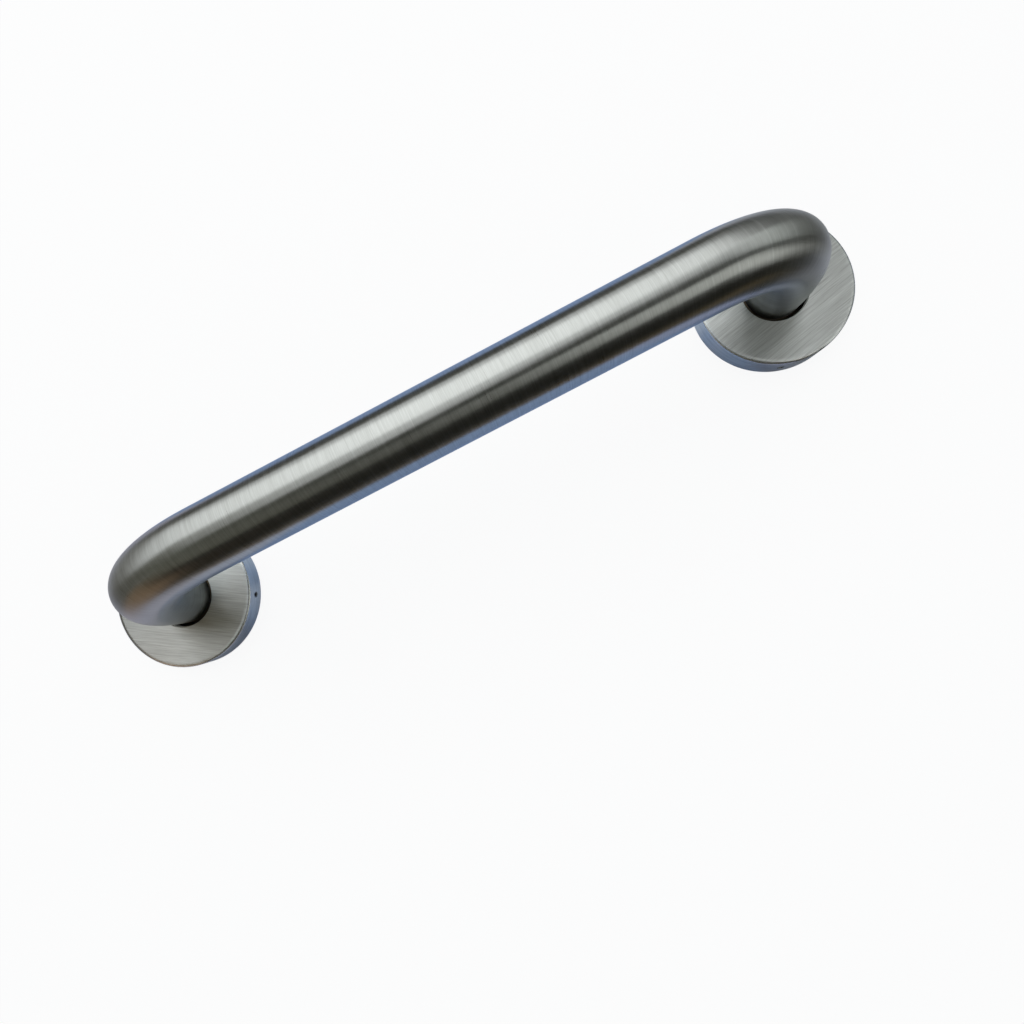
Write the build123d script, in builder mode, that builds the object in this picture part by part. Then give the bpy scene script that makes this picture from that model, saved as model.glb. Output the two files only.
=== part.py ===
# Grip handle for a shower or bath: a bent tube, two wall flanges under loose round covers.
# Millimetres. The wall plane is z = 0, z runs out of the wall and x along the bar.
import os
from math import cos, radians, sin

from build123d import *

os.makedirs("parts", exist_ok=True)

# Bent tube
tube_dia = 25.4
tube_wall = 1.2
leg_spacing = 300.0  # between the legs' axes
bar_height = 66.0  # from the wall to the bar's axis
leg_straight = 12.0  # from the wall to where the bend starts
bend_radius = bar_height - leg_straight  # on the tube's axis

# Loose cover
cover_dia = 66.5
cover_depth = 10.0
cover_wall = 1.5
cover_round_width = 2.0  # rolled outer edge, across the face
cover_round_drop = 1.2  # rolled outer edge, down the rim
leg_clearance = 1.6  # radial, leg in the cover's hole
hole_edge = 0.3  # edge break at the hole
foot_edge = 0.3  # edge break at the foot of the rim

# Weld bead round the foot of each leg
weld_leg = 2.0

# Wall flange, inside the cover
flange_gap = 3.25  # radial, flange inside the cover
flange_dia = cover_dia - 2 * (cover_wall + flange_gap)
flange_thick = 6.0
flange_edge = 0.5  # edge break
seat_floor = 2.0  # left under the tube's end
seat_clearance = 0.1  # radial, tube in its seat
seat_ledge = 0.5  # how far the floor reaches in past the tube's inside
wall_screw_count = 3
wall_screw_hole_dia = 5.5
wall_screw_head_dia = 11.0  # countersunk, 90 degrees
first_wall_screw_angle = 90.0
screw_circle_dia = (tube_dia + 2 * weld_leg + flange_dia) / 2  # midway between bead and edge

# Grub screw in the cover's rim, M3 x 4, its thread as a plain cylinder at the pitch diameter
grub_dia = 2.65
grub_height = 4.8  # axis above the wall
grub_tip_gap = 0.3  # backed off from the flange's edge
grub_recess = 0.45  # below the rim's outside
grub_length = cover_wall + flange_gap - grub_tip_gap - grub_recess
grub_tip_edge = 0.45
grub_key = 1.5  # across flats
grub_key_depth = 1.6
thread_clearance = 0.05  # radial
left_grub_angle = -25.7
right_grub_angle = -110.0

# Where the legs stand
left_x = -leg_spacing / 2
right_x = leg_spacing / 2


def save(builder, label):
    """Name one piece and write it out."""
    builder.part.label = label
    export_step(builder.part, f"parts/{label}.step")


def radial_plane(leg_x, angle, radius, height):
    """A plane square to a radius of one leg."""
    outward = (cos(radians(angle)), sin(radians(angle)), 0)
    origin = (leg_x + radius * outward[0], radius * outward[1], height)
    return Plane(origin=origin, x_dir=(0, 0, 1), z_dir=outward)


# Bent tube, its ends standing in the flanges' seats
with BuildPart() as grip_tube:
    with BuildLine(Plane.XZ) as axis_line:
        FilletPolyline(
            (left_x, seat_floor),
            (left_x, bar_height),
            (right_x, bar_height),
            (right_x, seat_floor),
            radius=bend_radius,
        )
    with BuildSketch(Plane.XY.offset(seat_floor)):
        with Locations((left_x, 0)):
            Circle(tube_dia / 2)
            Circle(tube_dia / 2 - tube_wall, mode=Mode.SUBTRACT)
    sweep(path=axis_line.line)
save(grip_tube, "grip_tube")


def build_flange(leg_x, label):
    """Wall plate with a stepped seat for the tube and countersunk screw holes."""
    with BuildPart() as flange:
        with BuildSketch(Plane.XY):
            with Locations((leg_x, 0)):
                Circle(flange_dia / 2)
        extrude(amount=flange_thick)
        chamfer(flange.edges().filter_by(GeomType.CIRCLE), flange_edge)
        with BuildSketch(Plane.XY.offset(seat_floor)):
            with Locations((leg_x, 0)):
                Circle(tube_dia / 2 + seat_clearance)
        extrude(amount=flange_thick, mode=Mode.SUBTRACT)
        with BuildSketch(Plane.XY):
            with Locations((leg_x, 0)):
                Circle(tube_dia / 2 - tube_wall - seat_ledge)
        extrude(amount=flange_thick, mode=Mode.SUBTRACT)
        with Locations((leg_x, 0, flange_thick)):
            with PolarLocations(screw_circle_dia / 2, wall_screw_count, first_wall_screw_angle):
                CounterSinkHole(wall_screw_hole_dia / 2, wall_screw_head_dia / 2, counter_sink_angle=90)
    save(flange, label)


def build_weld_bead(leg_x, label):
    """Flat-faced fillet weld between the leg and its flange."""
    inner = tube_dia / 2
    root = (inner, flange_thick)
    foot = (inner + weld_leg, flange_thick)
    head = (inner, flange_thick + weld_leg)
    with BuildPart() as bead:
        with BuildSketch(Plane(origin=(leg_x, 0, 0), x_dir=(1, 0, 0), z_dir=(0, -1, 0))):
            with BuildLine():
                Polyline(root, foot, head, close=True)
            make_face()
        revolve(axis=Axis((leg_x, 0, 0), (0, 0, 1)))
    save(bead, label)


def build_cover(leg_x, grub_angle, label):
    """Cup-shaped cover with a rolled edge, a clear hole for the leg and a screw hole in the rim."""
    outer = cover_dia / 2
    inner = outer - cover_wall
    hole = tube_dia / 2 + leg_clearance
    under = cover_depth - cover_wall
    with BuildPart() as cover:
        with BuildSketch(Plane(origin=(leg_x, 0, 0), x_dir=(1, 0, 0), z_dir=(0, -1, 0))):
            with BuildLine():
                EllipticalCenterArc(
                    (outer - cover_round_width, cover_depth - cover_round_drop),
                    cover_round_width,
                    cover_round_drop,
                    start_angle=0,
                    arc_size=90,
                )
                Polyline(
                    (outer - cover_round_width, cover_depth),
                    (hole + hole_edge, cover_depth),
                    (hole, cover_depth - hole_edge),
                    (hole, under),
                    (inner, under),
                    (inner, 0),
                    (outer - foot_edge, 0),
                    (outer, foot_edge),
                    (outer, cover_depth - cover_round_drop),
                )
            make_face()
        revolve(axis=Axis((leg_x, 0, 0), (0, 0, 1)))
        with BuildSketch(radial_plane(leg_x, grub_angle, 0, grub_height)):
            Circle(grub_dia / 2 + thread_clearance)
        extrude(amount=cover_dia, mode=Mode.SUBTRACT)
    save(cover, label)


def build_grub_screw(leg_x, grub_angle, label):
    """Flat-point socket screw lying along a radius of its leg."""
    tip = flange_dia / 2 + grub_tip_gap
    with BuildPart() as screw:
        with BuildSketch(radial_plane(leg_x, grub_angle, tip, grub_height)):
            Circle(grub_dia / 2)
        extrude(amount=grub_length)
        outward = Axis((leg_x, 0, grub_height), (cos(radians(grub_angle)), sin(radians(grub_angle)), 0))
        chamfer(screw.faces().sort_by(outward)[0].edges(), grub_tip_edge)
        with BuildSketch(radial_plane(leg_x, grub_angle, tip + grub_length, grub_height)):
            RegularPolygon(grub_key / 2, 6, major_radius=False)
        extrude(amount=-grub_key_depth, mode=Mode.SUBTRACT)
    save(screw, label)


# The same set at both ends, each cover turned as it happens to lie
for side, leg_x, grub_angle in (("left", left_x, left_grub_angle), ("right", right_x, right_grub_angle)):
    build_flange(leg_x, f"{side}_flange")
    build_weld_bead(leg_x, f"{side}_weld_bead")
    build_cover(leg_x, grub_angle, f"{side}_cover")
    build_grub_screw(leg_x, grub_angle, f"{side}_grub_screw")
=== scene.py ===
"""Grip handle for a shower or bath: brushed steel tube, loose round covers, hidden wall flanges.

Lengths are in metres. The wall plane is z = 0, +Z runs out of the wall and +X along the bar.
"""

import logging
import math
from dataclasses import dataclass
from enum import Enum

import bpy
from mathutils import Matrix, Vector


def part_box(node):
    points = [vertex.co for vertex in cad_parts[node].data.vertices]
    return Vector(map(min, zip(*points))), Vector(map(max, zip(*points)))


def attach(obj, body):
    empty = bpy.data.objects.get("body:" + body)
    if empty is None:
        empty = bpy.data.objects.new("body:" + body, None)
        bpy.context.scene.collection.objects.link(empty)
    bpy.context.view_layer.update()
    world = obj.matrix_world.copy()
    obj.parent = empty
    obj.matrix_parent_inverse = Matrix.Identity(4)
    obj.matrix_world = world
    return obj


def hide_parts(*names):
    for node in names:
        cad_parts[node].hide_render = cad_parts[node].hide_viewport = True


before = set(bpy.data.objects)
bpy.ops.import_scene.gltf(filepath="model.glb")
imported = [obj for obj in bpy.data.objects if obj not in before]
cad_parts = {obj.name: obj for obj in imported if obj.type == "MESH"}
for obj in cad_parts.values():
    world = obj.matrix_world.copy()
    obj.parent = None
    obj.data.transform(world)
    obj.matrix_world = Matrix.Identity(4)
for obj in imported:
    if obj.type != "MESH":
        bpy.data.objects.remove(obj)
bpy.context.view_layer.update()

Colour = tuple[float, float, float]
Place = tuple[float, float, float]
Span = tuple[float, float]
Quad = tuple[int, int, int, int]
Socket = bpy.types.NodeSocket

LOG = logging.getLogger("grip_handle")
MM = 0.001
UP = Vector((0.0, 0.0, 1.0))
SIDEWAYS = Vector((0.0, 1.0, 0.0))
EVEN = Vector((1.0, 1.0, 1.0))
WHITE: Colour = (1.0, 1.0, 1.0)
NONE_TO_ALL: Span = (0.0, 1.0)
NOISE_MIDDLE: Span = (0.3, 0.7)
NOISE_ROUGHNESS = 0.6
SHARP_ANGLE = math.radians(35)


class End(Enum):
    """The two ends of the handle, by the names that their pieces start with."""

    LEFT = "left"
    RIGHT = "right"


class Layer(Enum):
    """What the tube's vertices carry for its finish."""

    UNROLLED = "unrolled"
    RUN = "run"


class Mixed(Enum):
    """What a mix node mixes, with the numbers of its two inputs and its output."""

    VECTOR = (4, 5, 1)
    RGBA = (6, 7, 2)


class Facing(Enum):
    """Which way a card faces, by the axis that it is square to."""

    X = 0
    Y = 1
    Z = 2


GRAIN_DEGREES: dict[End, float] = {End.LEFT: -31.0, End.RIGHT: 12.0}


def solid(colour: Colour) -> tuple[float, float, float, float]:
    """A colour with nothing clear in it."""
    return (*colour, 1.0)


class Graph:
    """A node tree with short calls for adding and joining nodes."""

    def __init__(self, tree: bpy.types.NodeTree) -> None:
        """Start from an empty tree."""
        self.tree = tree
        self.tree.nodes.clear()

    def add(self, kind: str, inputs: dict | None = None, **settings: object) -> bpy.types.Node:
        """Add a node, set it up and feed its inputs.

        Args:
            kind: Blender's type name without the "ShaderNode" in front.
            inputs: input name or number to a constant or to another node's output.
            settings: the node's own properties.

        Returns:
            The new node.
        """
        node = self.tree.nodes.new("ShaderNode" + kind)
        for name, value in settings.items():
            setattr(node, name, value)
        for name, value in (inputs or {}).items():
            if isinstance(value, bpy.types.NodeSocket):
                self.tree.links.new(value, node.inputs[name])
            else:
                node.inputs[name].default_value = value
        return node

    def maths(self, operation: str, first: object, second: object = 0.0) -> Socket:
        """One sum of two numbers or outputs."""
        return self.add("Math", {0: first, 1: second}, operation=operation).outputs[0]

    def shared(self, first: Socket, second: Socket, share: float) -> Socket:
        """Add a share of one value to the rest of another.

        Args:
            first: the value that the share is taken of.
            second: the value that makes up the rest.
            share: how much of the first there is.

        Returns:
            The sum.
        """
        part = self.maths("MULTIPLY", first, share)
        rest = self.maths("MULTIPLY", second, 1 - share)
        return self.maths("ADD", part, rest)

    def ranged(self, value: Socket, start: Span, end: Span) -> Socket:
        """Carry a value from the first range to the second, without passing its ends."""
        names = ("Value", "From Min", "From Max", "To Min", "To Max")
        return self.add("MapRange", dict(zip(names, (value, *start, *end)))).outputs["Result"]

    def blend(
        self,
        share: object,
        first: object,
        second: object,
        kind: Mixed = Mixed.VECTOR,
        method: str = "MIX",
    ) -> Socket:
        """Mix two vectors or colours by a share.

        Args:
            share: how much of the second there is, as a number or an output.
            first: the vector or colour where the share is nought.
            second: the vector or colour where the share is one.
            kind: whether vectors or colours are mixed.
            method: how colours are mixed.

        Returns:
            The mixed vector or colour.
        """
        here, there, result = kind.value
        feeds = {0: share, here: first, there: second}
        return self.add("Mix", feeds, data_type=kind.name, blend_type=method).outputs[result]

    def noise(self, place: Socket, scale: Vector, detail: float) -> Socket:
        """Noise in a stretched space.

        Args:
            place: the coordinates.
            scale: lumps a metre along each axis.
            detail: how many finer layers there are.

        Returns:
            The noise, from nought to one.
        """
        spread = self.add("Mapping", {"Vector": place, "Scale": scale}).outputs[0]
        feeds = {"Vector": spread, "Scale": 1.0, "Detail": detail, "Roughness": NOISE_ROUGHNESS}
        return self.add("TexNoise", feeds).outputs["Fac"]

    def ramp(self, value: Socket, dark: Colour, light: Colour) -> Socket:
        """A two-colour ramp over the middle of a noise's range.

        Args:
            value: the noise.
            dark: the colour at its low end.
            light: the colour at its high end.

        Returns:
            The colour.
        """
        node = self.add("ValToRGB", {"Fac": value})
        for stop, position, colour in zip(node.color_ramp.elements, NOISE_MIDDLE, (dark, light)):
            stop.position = position
            stop.color = solid(colour)
        return node.outputs["Color"]

    def seen_directly(self) -> Socket:
        """Tell what is seen from what only lights other things.

        Returns:
            One where the camera, a mirror-like surface or a clear one looks, else nought.
        """
        path = self.add("LightPath").outputs
        clear = self.maths("MAXIMUM", path["Is Glossy Ray"], path["Is Transmission Ray"])
        return self.maths("MAXIMUM", path["Is Camera Ray"], clear)


def new_material(name: str) -> tuple[bpy.types.Material, Graph]:
    """Make a material with no nodes yet.

    Args:
        name: the material's name.

    Returns:
        The material and its nodes.
    """
    made = bpy.data.materials.new(name)
    made.use_nodes = True
    return made, Graph(made.node_tree)


@dataclass(frozen=True)
class BrushedSteel:
    """Stainless steel with fine parallel scratches.

    The scratches' own coordinates have X across them, and Y and Z along them.
    """

    name: str
    dark: Colour = (0.334, 0.347, 0.332)
    light: Colour = (0.477, 0.498, 0.482)
    edge_tint: Colour = (0.8, 0.82, 0.85)
    smooth: float = 0.25
    rough: float = 0.36
    anisotropy: float = 0.78
    fine_pitch: float = 0.42 * MM
    fine_detail: float = 3.0
    fine_share: float = 0.65
    broad_pitch: float = 1.2 * MM
    broad_detail: float = 2.0
    scratch_run: float = 13 * MM
    scratch_depth: float = 0.004 * MM
    scratch_strength: float = 0.2
    smudge_size: float = 22 * MM
    smudge_detail: float = 4.0
    streak_share: float = 0.6

    def finish(
        self,
        graph: Graph,
        scratch: Socket,
        across: Socket,
        tint: Socket | None = None,
        dulling: Socket | None = None,
    ) -> None:
        """Build the surface from its scratches.

        Args:
            graph: the material's nodes.
            scratch: the scratches' coordinates.
            across: the direction square to the scratches, in the object's space.
            tint: a colour that multiplies the steel's own, such as a weld's heat marks darkened as
                painted shade.
            dulling: a number that multiplies the roughness, below one where the steel is smoother.
        """
        along = 1 / self.scratch_run
        fine_scale = Vector((1 / self.fine_pitch, along, along))
        broad_scale = Vector((1 / self.broad_pitch, along / 2, along / 2))
        fine = graph.noise(scratch, fine_scale, self.fine_detail)
        broad = graph.noise(scratch, broad_scale, self.broad_detail)
        place = graph.add("TexCoord").outputs["Object"]
        smudge = graph.noise(place, EVEN / self.smudge_size, self.smudge_detail)
        streak = graph.shared(fine, broad, self.fine_share)
        colour = graph.ramp(streak, self.dark, self.light)
        if tint is not None:
            colour = graph.blend(1.0, colour, tint, Mixed.RGBA, "MULTIPLY")
        worn = graph.shared(streak, smudge, self.streak_share)
        roughness = graph.ranged(worn, NOISE_MIDDLE, (self.smooth, self.rough))
        if dulling is not None:
            roughness = graph.maths("MULTIPLY", roughness, dulling)
        bump = graph.add(
            "Bump",
            {"Height": streak, "Strength": self.scratch_strength, "Distance": self.scratch_depth},
        )
        surface = graph.add(
            "BsdfPrincipled",
            {
                "Base Color": colour,
                "Metallic": 1.0,
                "Roughness": roughness,
                "Anisotropic": self.anisotropy,
                "Specular Tint": solid(self.edge_tint),
                "Normal": bump.outputs[0],
                "Tangent": across,
            },
        )
        graph.add("OutputMaterial", {"Surface": surface.outputs[0]})


@dataclass(frozen=True)
class TubeSteel(BrushedSteel):
    """Steel brushed round the tube, with yellowish heat marks by the welds at its feet, made dark as
    painted shade for the gaps under the covers.
    """

    heat_and_shade_from: float = 7.5 * MM
    heat_and_shade_to: float = 9 * MM
    # Heat colour at the feet, darkened to serve also as painted shade in the gap under each cover.
    straw_and_shade: Colour = (0.4, 0.3, 0.18)

    def material(self) -> bpy.types.Material:
        """Make the material, for a mesh that carries its unrolled places and its run.

        Returns:
            The material.
        """
        made, graph = new_material(self.name)
        unrolled = graph.add("Attribute", attribute_name=Layer.UNROLLED.value).outputs["Vector"]
        run = graph.add("Attribute", attribute_name=Layer.RUN.value).outputs["Vector"]
        place = graph.add("TexCoord").outputs["Object"]
        height = graph.add("SeparateXYZ", {0: place}).outputs["Z"]
        # Below this height the tube takes the dark tint: part heat marks, part painted shade in the
        # cover's gap.
        clear_of_heat_and_shade = graph.ranged(height, (self.heat_and_shade_from, self.heat_and_shade_to), NONE_TO_ALL)
        tint = graph.blend(clear_of_heat_and_shade, solid(self.straw_and_shade), solid(WHITE), Mixed.RGBA)
        self.finish(graph, unrolled, run, tint)
        return made


@dataclass(frozen=True)
class CoverSteel(BrushedSteel):
    """Steel with straight scratches over the flat face and hoop scratches round the rim."""

    dark: Colour = (0.475, 0.497, 0.485)
    light: Colour = (0.815, 0.855, 0.84)
    smooth: float = 0.37
    rough: float = 0.43
    anisotropy: float = 1.0
    grain_angle: float = 0.0
    face_from: float = 0.3
    face_to: float = 0.8
    edge_polish: float = 0.58
    edge_from: float = 0.9
    edge_to: float = 0.995

    def material(self) -> bpy.types.Material:
        """Make the material, which tells the face from the rim by the way the surface looks.

        Returns:
            The material.
        """
        made, graph = new_material(self.name)
        place = graph.add("TexCoord").outputs["Object"]
        normal = graph.add("NewGeometry").outputs["Normal"]
        flat = graph.maths("ABSOLUTE", graph.add("SeparateXYZ", {0: normal}).outputs["Z"])
        face = graph.ranged(flat, (self.face_from, self.face_to), NONE_TO_ALL)
        turn = {"Vector": place, "Angle": -(math.pi / 2 + self.grain_angle)}
        straight = graph.add("VectorRotate", turn, rotation_type="Z_AXIS").outputs[0]
        axes = graph.add("SeparateXYZ", {0: place}).outputs
        hoop = graph.add("CombineXYZ", {0: axes["Z"], 1: axes["X"], 2: axes["Y"]}).outputs[0]
        scratch = graph.blend(face, hoop, straight)
        square = (-math.sin(self.grain_angle), math.cos(self.grain_angle), 0.0)
        across = graph.blend(face, tuple(UP), square)
        on_face = graph.ranged(flat, (self.edge_from, self.edge_to), (self.edge_polish, 1.0))
        on_rim = graph.ranged(flat, (0.0, self.face_from), (1.0, self.edge_polish))
        dulling = graph.maths("MAXIMUM", on_face, on_rim)
        self.finish(graph, scratch, across, dulling=dulling)
        return made


@dataclass(frozen=True)
class TurnedSteel(BrushedSteel):
    """Steel off a lathe, with rings round a centre on the wall plane."""

    centre: Place = (0.0, 0.0, 0.0)

    def material(self) -> bpy.types.Material:
        """Make the material, with each scratch at one distance from the centre.

        Returns:
            The material.
        """
        made, graph = new_material(self.name)
        place = graph.add("TexCoord").outputs["Object"]
        out = graph.add("VectorMath", {0: place, 1: self.centre}, operation="SUBTRACT").outputs[0]
        level = {0: out, 1: (1.0, 1.0, 0.0)}
        flat = graph.add("VectorMath", level, operation="MULTIPLY").outputs[0]
        distance = graph.add("VectorMath", {0: flat}, operation="LENGTH").outputs["Value"]
        axes = graph.add("SeparateXYZ", {0: place}).outputs
        reach = graph.maths("ADD", distance, axes["Z"])
        scratch = graph.add("CombineXYZ", {0: reach, 1: axes["X"], 2: axes["Y"]}).outputs[0]
        across = graph.add("VectorMath", {0: flat}, operation="NORMALIZE").outputs[0]
        self.finish(graph, scratch, across)
        return made


@dataclass(frozen=True)
class FlangeSteel(TurnedSteel):
    """The wall flanges' duller turned steel."""

    rough: float = 0.42
    anisotropy: float = 0.6


@dataclass(frozen=True)
class ScrewSteel(TurnedSteel):
    """The grub screws' darker and finer turned steel."""

    dark: Colour = (0.2, 0.2, 0.2)
    light: Colour = (0.3, 0.3, 0.29)
    fine_pitch: float = 0.2 * MM


@dataclass(frozen=True)
class WeldMetal:
    """Weld metal with yellowish and blue heat colours, brushed by hand, all kept near black as
    painted shade for the gap under the cover.
    """

    name: str
    # These heat colours are kept near black as painted shade: the bead sits in the shadowed gap
    # under the cover.
    bright: Colour = (0.1, 0.09, 0.075)
    straw_and_shade: Colour = (0.09, 0.06, 0.03)
    blue: Colour = (0.03, 0.04, 0.07)
    blue_patches: Span = (0.52, 0.68)
    patch_size: float = 5 * MM
    patch_detail: float = 3.0
    grit_size: float = 0.4 * MM
    grit_detail: float = 2.0
    grit_depth: float = 0.03 * MM
    grit_strength: float = 0.4
    smooth: float = 0.28
    rough: float = 0.5

    def material(self) -> bpy.types.Material:
        """Make the material, patchy along the bead.

        Returns:
            The material.
        """
        made, graph = new_material(self.name)
        place = graph.add("TexCoord").outputs["Object"]
        patch = graph.noise(place, EVEN / self.patch_size, self.patch_detail)
        grit = graph.noise(place, EVEN / self.grit_size, self.grit_detail)
        warm = graph.ramp(patch, self.bright, self.straw_and_shade)
        share = graph.ranged(patch, self.blue_patches, NONE_TO_ALL)
        colour = graph.blend(share, warm, solid(self.blue), Mixed.RGBA)
        bump = graph.add(
            "Bump",
            {"Height": grit, "Strength": self.grit_strength, "Distance": self.grit_depth},
        )
        surface = graph.add(
            "BsdfPrincipled",
            {
                "Base Color": colour,
                "Metallic": 1.0,
                "Roughness": graph.ranged(grit, NOISE_MIDDLE, (self.smooth, self.rough)),
                "Normal": bump.outputs[0],
            },
        )
        graph.add("OutputMaterial", {"Surface": surface.outputs[0]})
        return made


def new_piece(
    name: str, points: list[Vector], faces: list[Quad], body: str, node: str
) -> bpy.types.Object:
    """Make a smooth mesh piece that stands for a CAD node.

    Args:
        name: the piece's name.
        points: its vertices.
        faces: its faces, as vertex numbers.
        body: the CAD body that it rides on.
        node: the CAD node that it stands for.

    Returns:
        The new object.
    """
    mesh = bpy.data.meshes.new(name)
    mesh.from_pydata(points, [], faces)
    mesh.polygons.foreach_set("use_smooth", [True] * len(mesh.polygons))
    mesh.set_sharp_from_angle(angle=SHARP_ANGLE)
    piece = bpy.data.objects.new(name, mesh)
    bpy.context.scene.collection.objects.link(piece)
    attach(piece, body)
    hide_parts(node)
    return piece


def ring_faces(rings: int, around: int) -> list[Quad]:
    """Quads between rings of points, each ring closed and the last joined to the first.

    Args:
        rings: how many rings there are.
        around: how many points a ring has.

    Returns:
        The faces, as vertex numbers.
    """
    faces: list[Quad] = []
    for ring in range(rings):
        here = ring * around
        there = (ring + 1) % rings * around
        for step in range(around):
            after = (step + 1) % around
            faces.append((here + step, here + after, there + after, there + step))
    return faces


@dataclass
class GripTube:
    """The bent tube: two legs, two bends and the bar between them."""

    node: str = "grip_tube"
    body: str = "bar"
    slot: str = "tube_steel"
    wall: float = 1.2 * MM
    leg_straight: float = 12 * MM
    end_edge: float = 0.2 * MM
    bend_flat: float = 0.02
    around: int = 112
    bend_steps: int = 44
    bar_steps: int = 24

    def __post_init__(self) -> None:
        """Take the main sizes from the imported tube."""
        low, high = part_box(self.node)
        self.radius = (high.y - low.y) / 2
        self.leg_x = high.x - self.radius
        self.bar_height = high.z - self.radius
        self.foot = low.z
        self.bend_radius = self.bar_height - self.leg_straight

    def axis(self) -> list[tuple[Vector, Vector]]:
        """Places along the tube's axis, from the left foot to the right one.

        Returns:
            For each, the point and the direction of the axis.
        """
        places = [(Vector((-self.leg_x, 0, self.foot)), UP.copy())]
        places += [(Vector((-self.leg_x, 0, self.foot + self.end_edge)), UP.copy())]
        bend_x = self.leg_x - self.bend_radius
        centre = Vector((-bend_x, 0, self.leg_straight))
        for step in range(self.bend_steps + 1):
            angle = math.pi / 2 * step / self.bend_steps
            out = Vector((-math.cos(angle), 0, math.sin(angle)))
            run = Vector((math.sin(angle), 0, math.cos(angle)))
            places.append((centre + self.bend_radius * out, run))
        for step in range(1, self.bar_steps):
            x = -bend_x + 2 * bend_x * step / self.bar_steps
            places.append((Vector((x, 0, self.bar_height)), Vector((1, 0, 0))))
        half = len(places) - self.bar_steps + 1
        for point, run in reversed(places[:half]):
            places.append((Vector((-point.x, 0, point.z)), Vector((run.x, 0, -run.z))))
        return places

    def stations(self) -> list[tuple[Vector, Vector, float]]:
        """Measure along the tube's axis.

        Returns:
            For each place, the point, the direction of the axis and the length run so far.
        """
        places = self.axis()
        stations: list[tuple[Vector, Vector, float]] = []
        length = 0.0
        last = places[0][0]
        for point, run in places:
            length += (point - last).length
            stations.append((point, run, length))
            last = point
        return stations

    def build(self) -> bpy.types.Object:
        """Sweep the outside and the inside, and close both ends.

        Returns:
            The tube, carrying its unrolled places and the axis's direction at each vertex.
        """
        stations = self.stations()
        points: list[Vector] = []
        unrolled: list[Place] = []
        runs: list[Place] = []
        last = len(stations) - 1
        for inside in (False, True):
            order = range(last, -1, -1) if inside else range(last + 1)
            for number in order:
                centre, run, length = stations[number]
                out = run.cross(SIDEWAYS)
                edge = self.end_edge if number in (0, last) else 0.0
                radius = self.radius - self.wall + edge if inside else self.radius - edge
                flat = self.bend_flat * (2 * run.x * run.z) ** 2
                for step in range(self.around):
                    angle = 2 * math.pi * step / self.around
                    side = radius * math.sin(angle)
                    level = radius * math.cos(angle)
                    level *= 1 - flat * max(math.cos(angle), 0.0)
                    points.append(centre + level * out + side * SIDEWAYS)
                    unrolled.append((length, level, side))
                    runs.append(tuple(run))
        faces = ring_faces(2 * len(stations), self.around)
        piece = new_piece("brushed_tube", points, faces, self.body, self.node)
        for name, values in ((Layer.UNROLLED, unrolled), (Layer.RUN, runs)):
            layer = piece.data.attributes.new(name.value, "FLOAT_VECTOR", "POINT")
            layer.data.foreach_set("vector", [number for value in values for number in value])
        return piece

    def dress(self, piece: bpy.types.Object, finish: TubeSteel) -> None:
        """Give the tube its brushed finish."""
        piece.data.materials.append(finish.material())


@dataclass
class WeldBead:
    """The fillet weld round the foot of one leg, with the ripples that a torch leaves."""

    end: End
    body: str = "bar"
    slot: str = "weld_steel"
    ripples: int = 52
    steps_a_ripple: int = 9
    face_steps: int = 9
    ripple_height: float = 0.16 * MM
    ripple_middle: float = 0.5
    dome: float = 0.22 * MM
    lean: float = 0.9

    def __post_init__(self) -> None:
        """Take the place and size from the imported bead."""
        self.node = f"{self.end.value}_weld_bead"
        low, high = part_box(self.node)
        self.centre = (low + high) / 2
        self.base = low.z
        self.leg = high.z - low.z
        self.inner = (high.x - low.x) / 2 - self.leg

    def at(self, out: Vector, reach: float, rise: float) -> Vector:
        """A point of the bead's section, from its root on the leg and the flange."""
        place = (self.inner + reach) * out
        return Vector((self.centre.x + place.x, self.centre.y + place.y, self.base + rise))

    def build(self) -> bpy.types.Object:
        """Run the bead's section round the leg, one crescent after another.

        Returns:
            The bead.
        """
        points: list[Vector] = []
        turns = self.ripples * self.steps_a_ripple
        for turn in range(turns):
            angle = 2 * math.pi * turn / turns
            out = Vector((math.cos(angle), math.sin(angle), 0))
            points.append(self.at(out, 0.0, 0.0))
            for step in range(self.face_steps + 1):
                share = step / self.face_steps
                swell = math.sin(math.pi * share)
                beat = turn / self.steps_a_ripple - self.lean * swell
                saw = beat - math.floor(beat)
                rise = (self.dome + self.ripple_height * (saw**2 - self.ripple_middle)) * swell
                shift = rise / math.sqrt(2)
                reach = (1 - share) * self.leg + shift
                points.append(self.at(out, reach, share * self.leg + shift))
        faces = ring_faces(turns, self.face_steps + 2)
        name = f"{self.end.value}_weld_ripples"
        return new_piece(name, points, faces, self.body, self.node)

    def dress(self, piece: bpy.types.Object, finish: WeldMetal) -> None:
        """Give the bead its heat colours, dark enough to be painted shade too."""
        piece.data.materials.append(finish.material())


@dataclass
class WallEnd:
    """The pieces at one end that keep their CAD shapes: cover, flange and grub screw."""

    end: End
    grain_angle: float

    def dress(self) -> list[str]:
        """Give each piece its finish.

        Returns:
            The names of the pieces.
        """
        side = self.end.value
        low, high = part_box(f"{side}_flange")
        middle = tuple((low + high) / 2)
        finishes = {
            f"{side}_cover": CoverSteel(f"{side}_cover_steel", grain_angle=self.grain_angle),
            f"{side}_flange": FlangeSteel(f"{side}_flange_steel", centre=middle),
            f"{side}_grub_screw": ScrewSteel(f"{side}_screw_steel", centre=middle),
        }
        for node, finish in finishes.items():
            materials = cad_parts[node].data.materials
            materials.clear()
            materials.append(finish.material())
        return list(finishes)


def stage_plane(name: str, corners: list[Vector], surface: bpy.types.Material) -> bpy.types.Object:
    """Make a flat four-cornered stage piece.

    Args:
        name: the piece's name.
        corners: its corners, in order.
        surface: its material.

    Returns:
        The new object.
    """
    mesh = bpy.data.meshes.new(name)
    mesh.from_pydata(corners, [], [(0, 1, 2, 3)])
    mesh.materials.append(surface)
    plane = bpy.data.objects.new(name, mesh)
    bpy.context.scene.collection.objects.link(plane)
    return plane


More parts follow.
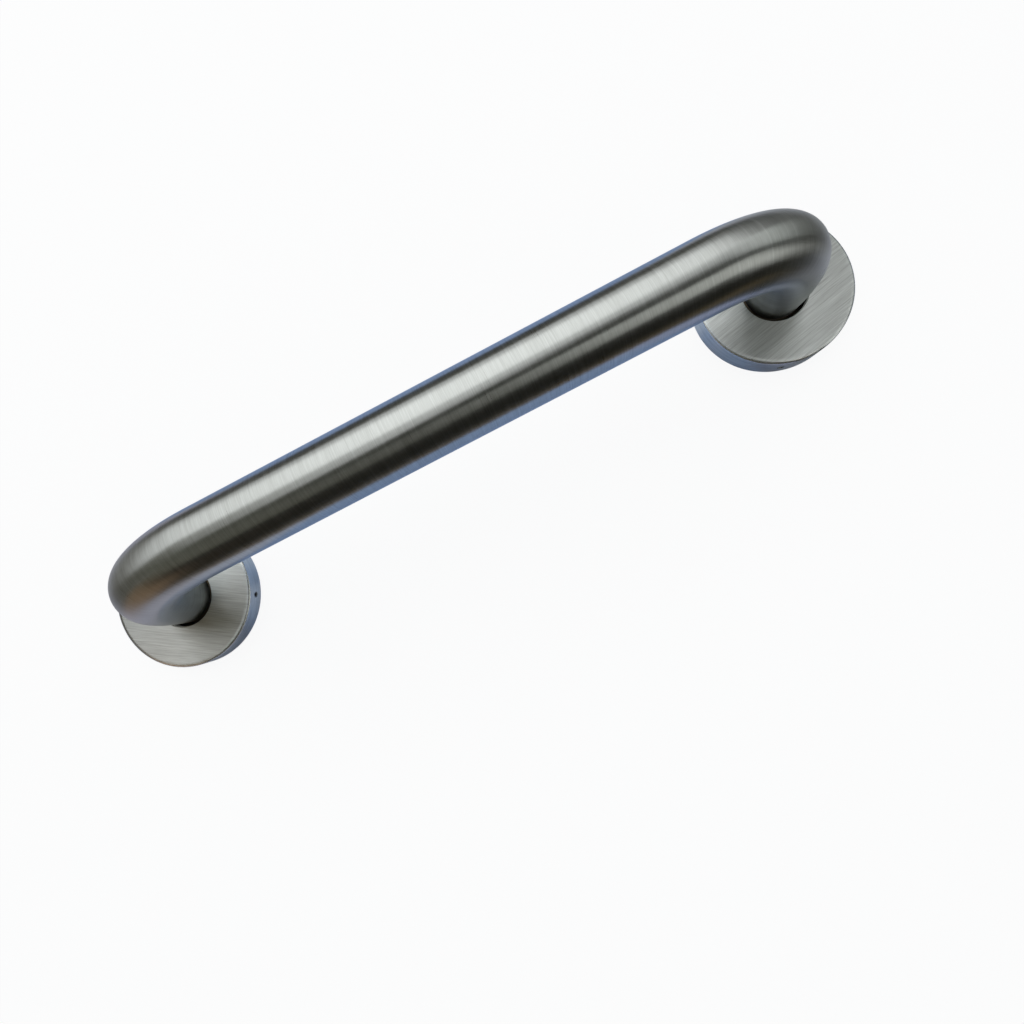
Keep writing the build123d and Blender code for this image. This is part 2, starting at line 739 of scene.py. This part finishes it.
@dataclass(frozen=True)
class Card:
    """A plain card that only the steel's reflections see, square to one axis.

    Its place is on that axis, and its spans are on the other two in their order.
    """

    name: str
    facing: Facing
    place: float
    first: Span
    second: Span
    shade: Colour

    def corners(self) -> list[Vector]:
        """Find the corners from the place and the spans.

        Returns:
            The four corners, in order.
        """
        made: list[Vector] = []
        for one, two in ((0, 0), (1, 0), (1, 1), (0, 1)):
            spots = [self.first[one], self.second[two]]
            spots.insert(self.facing.value, self.place)
            made.append(Vector(spots))
        return made

    def surface(self, graph: Graph) -> Socket:
        """A face that looks the same under any light."""
        return graph.add("Emission", {"Color": solid(self.shade), "Strength": 1.0}).outputs[0]

    def hang(self) -> None:
        """Put the card up, out of the way of the camera and of the lamp's light."""
        made, graph = new_material(self.name)
        graph.add("OutputMaterial", {"Surface": self.surface(graph)})
        plane = stage_plane(self.name, self.corners(), made)
        plane.visible_camera = False
        plane.visible_diffuse = False
        plane.visible_shadow = False


@dataclass(frozen=True)
class Sheet(Card):
    """A matt card that takes the lamp's light and the handle's shadow."""

    def surface(self, graph: Graph) -> Socket:
        """A dull painted face."""
        return graph.add("BsdfDiffuse", {"Color": solid(self.shade)}).outputs[0]


@dataclass
class Studio:
    """The pale floor, the soft light, the cards and the camera."""

    floor_reach: float = 4.0
    floor_white: Colour = (0.995, 0.998, 1.0)
    floor_glow: float = 0.9
    dim_world: float = 0.62
    lamp_place: Place = (0.04, 0.65, 0.95)
    lamp_aim: Place = (0.04, 0.0, 0.05)
    lamp_size: Span = (1.32, 1.0)
    lamp_radiance: float = 0.85
    eye: Place = (5.43 * MM, -59.19 * MM, 243.08 * MM)
    eye_right: Place = (0.89078, -0.44564, -0.08894)
    eye_up: Place = (0.45018, 0.89209, 0.03888)
    lens_mm: float = 18.505
    sensor_mm: float = 36.0
    shift: Span = (0.02122, 0.02724)
    nearest: float = 0.01
    cards: tuple[Card, ...] = (
        Sheet("blue_sheet", Facing.Z, 0.2 * MM, (-0.175, 0.17), (-0.16, 0.26), (0.48, 0.64, 1.0)),
        Sheet("left_violet", Facing.Z, 0.3 * MM, (-0.175, -0.11), (-0.16, -0.05), (0.78, 0.82, 1.0)),
        Sheet("right_violet", Facing.Z, 0.3 * MM, (0.105, 0.17), (-0.16, -0.05), (0.64, 0.7, 1.0)),
        # The two foot sheets are painted shade: darker patches of sheet in front of the covers that
        # stand in for their contact shadow.
        Sheet("left_foot_painted_shade", Facing.Z, 0.3 * MM, (-0.175, -0.122), (-0.05, -0.03), (0.29, 0.36, 0.55)),
        Sheet("right_foot_painted_shade", Facing.Z, 0.3 * MM, (0.118, 0.17), (-0.05, -0.03), (0.29, 0.36, 0.55)),
        Sheet("left_lilac", Facing.Z, 0.2 * MM, (-0.27, -0.175), (-0.16, 0.26), (0.85, 0.84, 1.0)),
        Sheet("right_lilac", Facing.Z, 0.2 * MM, (0.17, 0.25), (-0.16, 0.26), (0.88, 0.9, 1.0)),
        Card("right_shade", Facing.Z, 0.4 * MM, (0.15, 0.25), (-0.16, -0.045), (0.05, 0.048, 0.04)),
        Card("right_table", Facing.Z, 0.1 * MM, (0.25, 1.5), (-1.19, 1.3), (0.05, 0.048, 0.04)),
        Card("front_dark", Facing.Y, -1.2, (-6.0, 6.0), (0.0, 6.8), (0.02, 0.019, 0.016)),
        Card("front_grey", Facing.Y, -1.19, (-4.0, 0.6), (1.05, 2.6), (0.09, 0.086, 0.075)),
        Card("front_light", Facing.Y, -1.19, (0.6, 6.0), (0.93, 2.7), (0.95, 0.95, 0.91)),
        Card("front_low", Facing.Y, -1.19, (1.4, 6.0), (0.3, 0.93), (0.95, 0.95, 0.91)),
        Card("front_skirt", Facing.Y, -0.16, (-0.27, 0.25), (0.0, 0.066), (0.035, 0.03, 0.02)),
        Card("front_foot", Facing.Y, -0.158, (-0.27, 0.25), (0.0, 0.034), (0.17, 0.125, 0.07)),
        Card("back_skirt", Facing.Y, 0.26, (-0.3, 0.33), (0.0, 0.14), (0.09, 0.085, 0.07)),
        Card("left_skirt", Facing.X, -0.27, (-0.03, 0.26), (0.0, 0.125), (0.15, 0.14, 0.12)),
        Card("left_brown", Facing.X, -0.27, (-0.16, -0.03), (0.0, 0.1), (0.36, 0.24, 0.15)),
        Card("left_dark", Facing.Z, 1.0, (-3.5, -0.45), (-1.2, 0.3), (0.15, 0.147, 0.117)),
        Card("right_panel", Facing.X, 1.5, (-0.16, 0.7), (0.3, 0.93), (0.78, 0.81, 0.78)),
        Card("right_low", Facing.X, 1.51, (-0.16, 0.7), (0.0, 0.33), (0.06, 0.06, 0.057)),
        Card("right_back", Facing.X, 1.51, (0.7, 2.5), (0.0, 0.6), (0.1, 0.1, 0.095)),
        Card("right_post", Facing.X, 1.49, (-0.47, -0.16), (0.0, 1.5), (0.04, 0.04, 0.038)),
        Card("right_near", Facing.X, 0.3, (0.09, 0.4), (0.0, 0.2), (0.08, 0.08, 0.076)),
        Card("right_grey", Facing.X, 0.6, (-0.1, 0.3), (0.66, 1.02), (0.08, 0.09, 0.086)),
        Card("top_dark", Facing.Z, 1.0, (0.12, 1.0), (-0.2, -0.02), (0.05, 0.05, 0.048)),
    )

    def floor(self) -> None:
        """Lay a pale floor that reads white and keeps the object's shadow."""
        made, graph = new_material("pale_floor")
        share = graph.maths("MULTIPLY", graph.seen_directly(), self.floor_glow)
        white = solid(self.floor_white)
        lit = graph.add("BsdfDiffuse", {"Color": white}).outputs[0]
        glow = graph.add("Emission", {"Color": white, "Strength": 1.0}).outputs[0]
        mixed = graph.add("MixShader", {0: share, 1: lit, 2: glow}).outputs[0]
        graph.add("OutputMaterial", {"Surface": mixed})
        reach = self.floor_reach
        corners = [(-reach, -reach, 0), (reach, -reach, 0), (reach, reach, 0), (-reach, reach, 0)]
        stage_plane("floor", [Vector(corner) for corner in corners], made)

    def lamp(self) -> None:
        """Hang the soft rectangular lamp behind the bar, where a radiance of one looks white."""
        width, height = self.lamp_size
        light = bpy.data.lights.new("main_lamp", "AREA")
        light.shape = "RECTANGLE"
        light.size = width
        light.size_y = height
        light.energy = self.lamp_radiance * math.pi * width * height
        lamp = bpy.data.objects.new("main_lamp", light)
        place = Vector(self.lamp_place)
        lamp.rotation_euler = (Vector(self.lamp_aim) - place).to_track_quat("-Z", "Y").to_euler()
        lamp.location = place
        bpy.context.scene.collection.objects.link(lamp)

    def world(self) -> None:
        """Set a white surround where it is seen, and a dim one for the soft light."""
        world = bpy.data.worlds.new("surround")
        bpy.context.scene.world = world
        world.use_nodes = True
        graph = Graph(world.node_tree)
        white = solid(WHITE)
        dim = graph.add("Background", {"Color": white, "Strength": self.dim_world}).outputs[0]
        bright = graph.add("Background", {"Color": white, "Strength": 1.0}).outputs[0]
        mixed = graph.add("MixShader", {0: graph.seen_directly(), 1: dim, 2: bright}).outputs[0]
        graph.add("OutputWorld", {"Surface": mixed})

    def camera(self) -> None:
        """Stand the camera nearly over the handle, close by, as the photo has it."""
        data = bpy.data.cameras.new("photo_camera")
        data.lens = self.lens_mm
        data.sensor_width = self.sensor_mm
        data.shift_x, data.shift_y = self.shift
        data.clip_start = self.nearest
        camera = bpy.data.objects.new("photo_camera", data)
        right = Vector(self.eye_right)
        up = Vector(self.eye_up)
        turn = Matrix((right, up, right.cross(up))).transposed()
        camera.matrix_world = Matrix.Translation(Vector(self.eye)) @ turn.to_4x4()
        bpy.context.scene.collection.objects.link(camera)
        bpy.context.scene.camera = camera

    def build(self) -> None:
        """Set up the whole stage."""
        self.floor()
        for card in self.cards:
            card.hang()
        self.lamp()
        self.world()
        self.camera()
        bpy.context.scene.view_settings.view_transform = "Standard"


def main() -> None:
    """Build and dress the handle from the tube outwards, then light it."""
    logging.basicConfig(level=logging.INFO, format="%(name)s: %(message)s")
    tube = GripTube()
    piece = tube.build()
    tube.dress(piece, TubeSteel("tube_steel"))
    LOG.info("built %s with %d faces", piece.name, len(piece.data.polygons))
    for end in End:
        bead = WeldBead(end)
        piece = bead.build()
        bead.dress(piece, WeldMetal(f"{end.value}_weld_metal"))
        LOG.info("built %s with %d faces", piece.name, len(piece.data.polygons))
    for end, degrees in GRAIN_DEGREES.items():
        for name in WallEnd(end, math.radians(degrees)).dress():
            LOG.info("dressed %s", name)
    Studio().build()


if __name__ == "__main__":
    main()
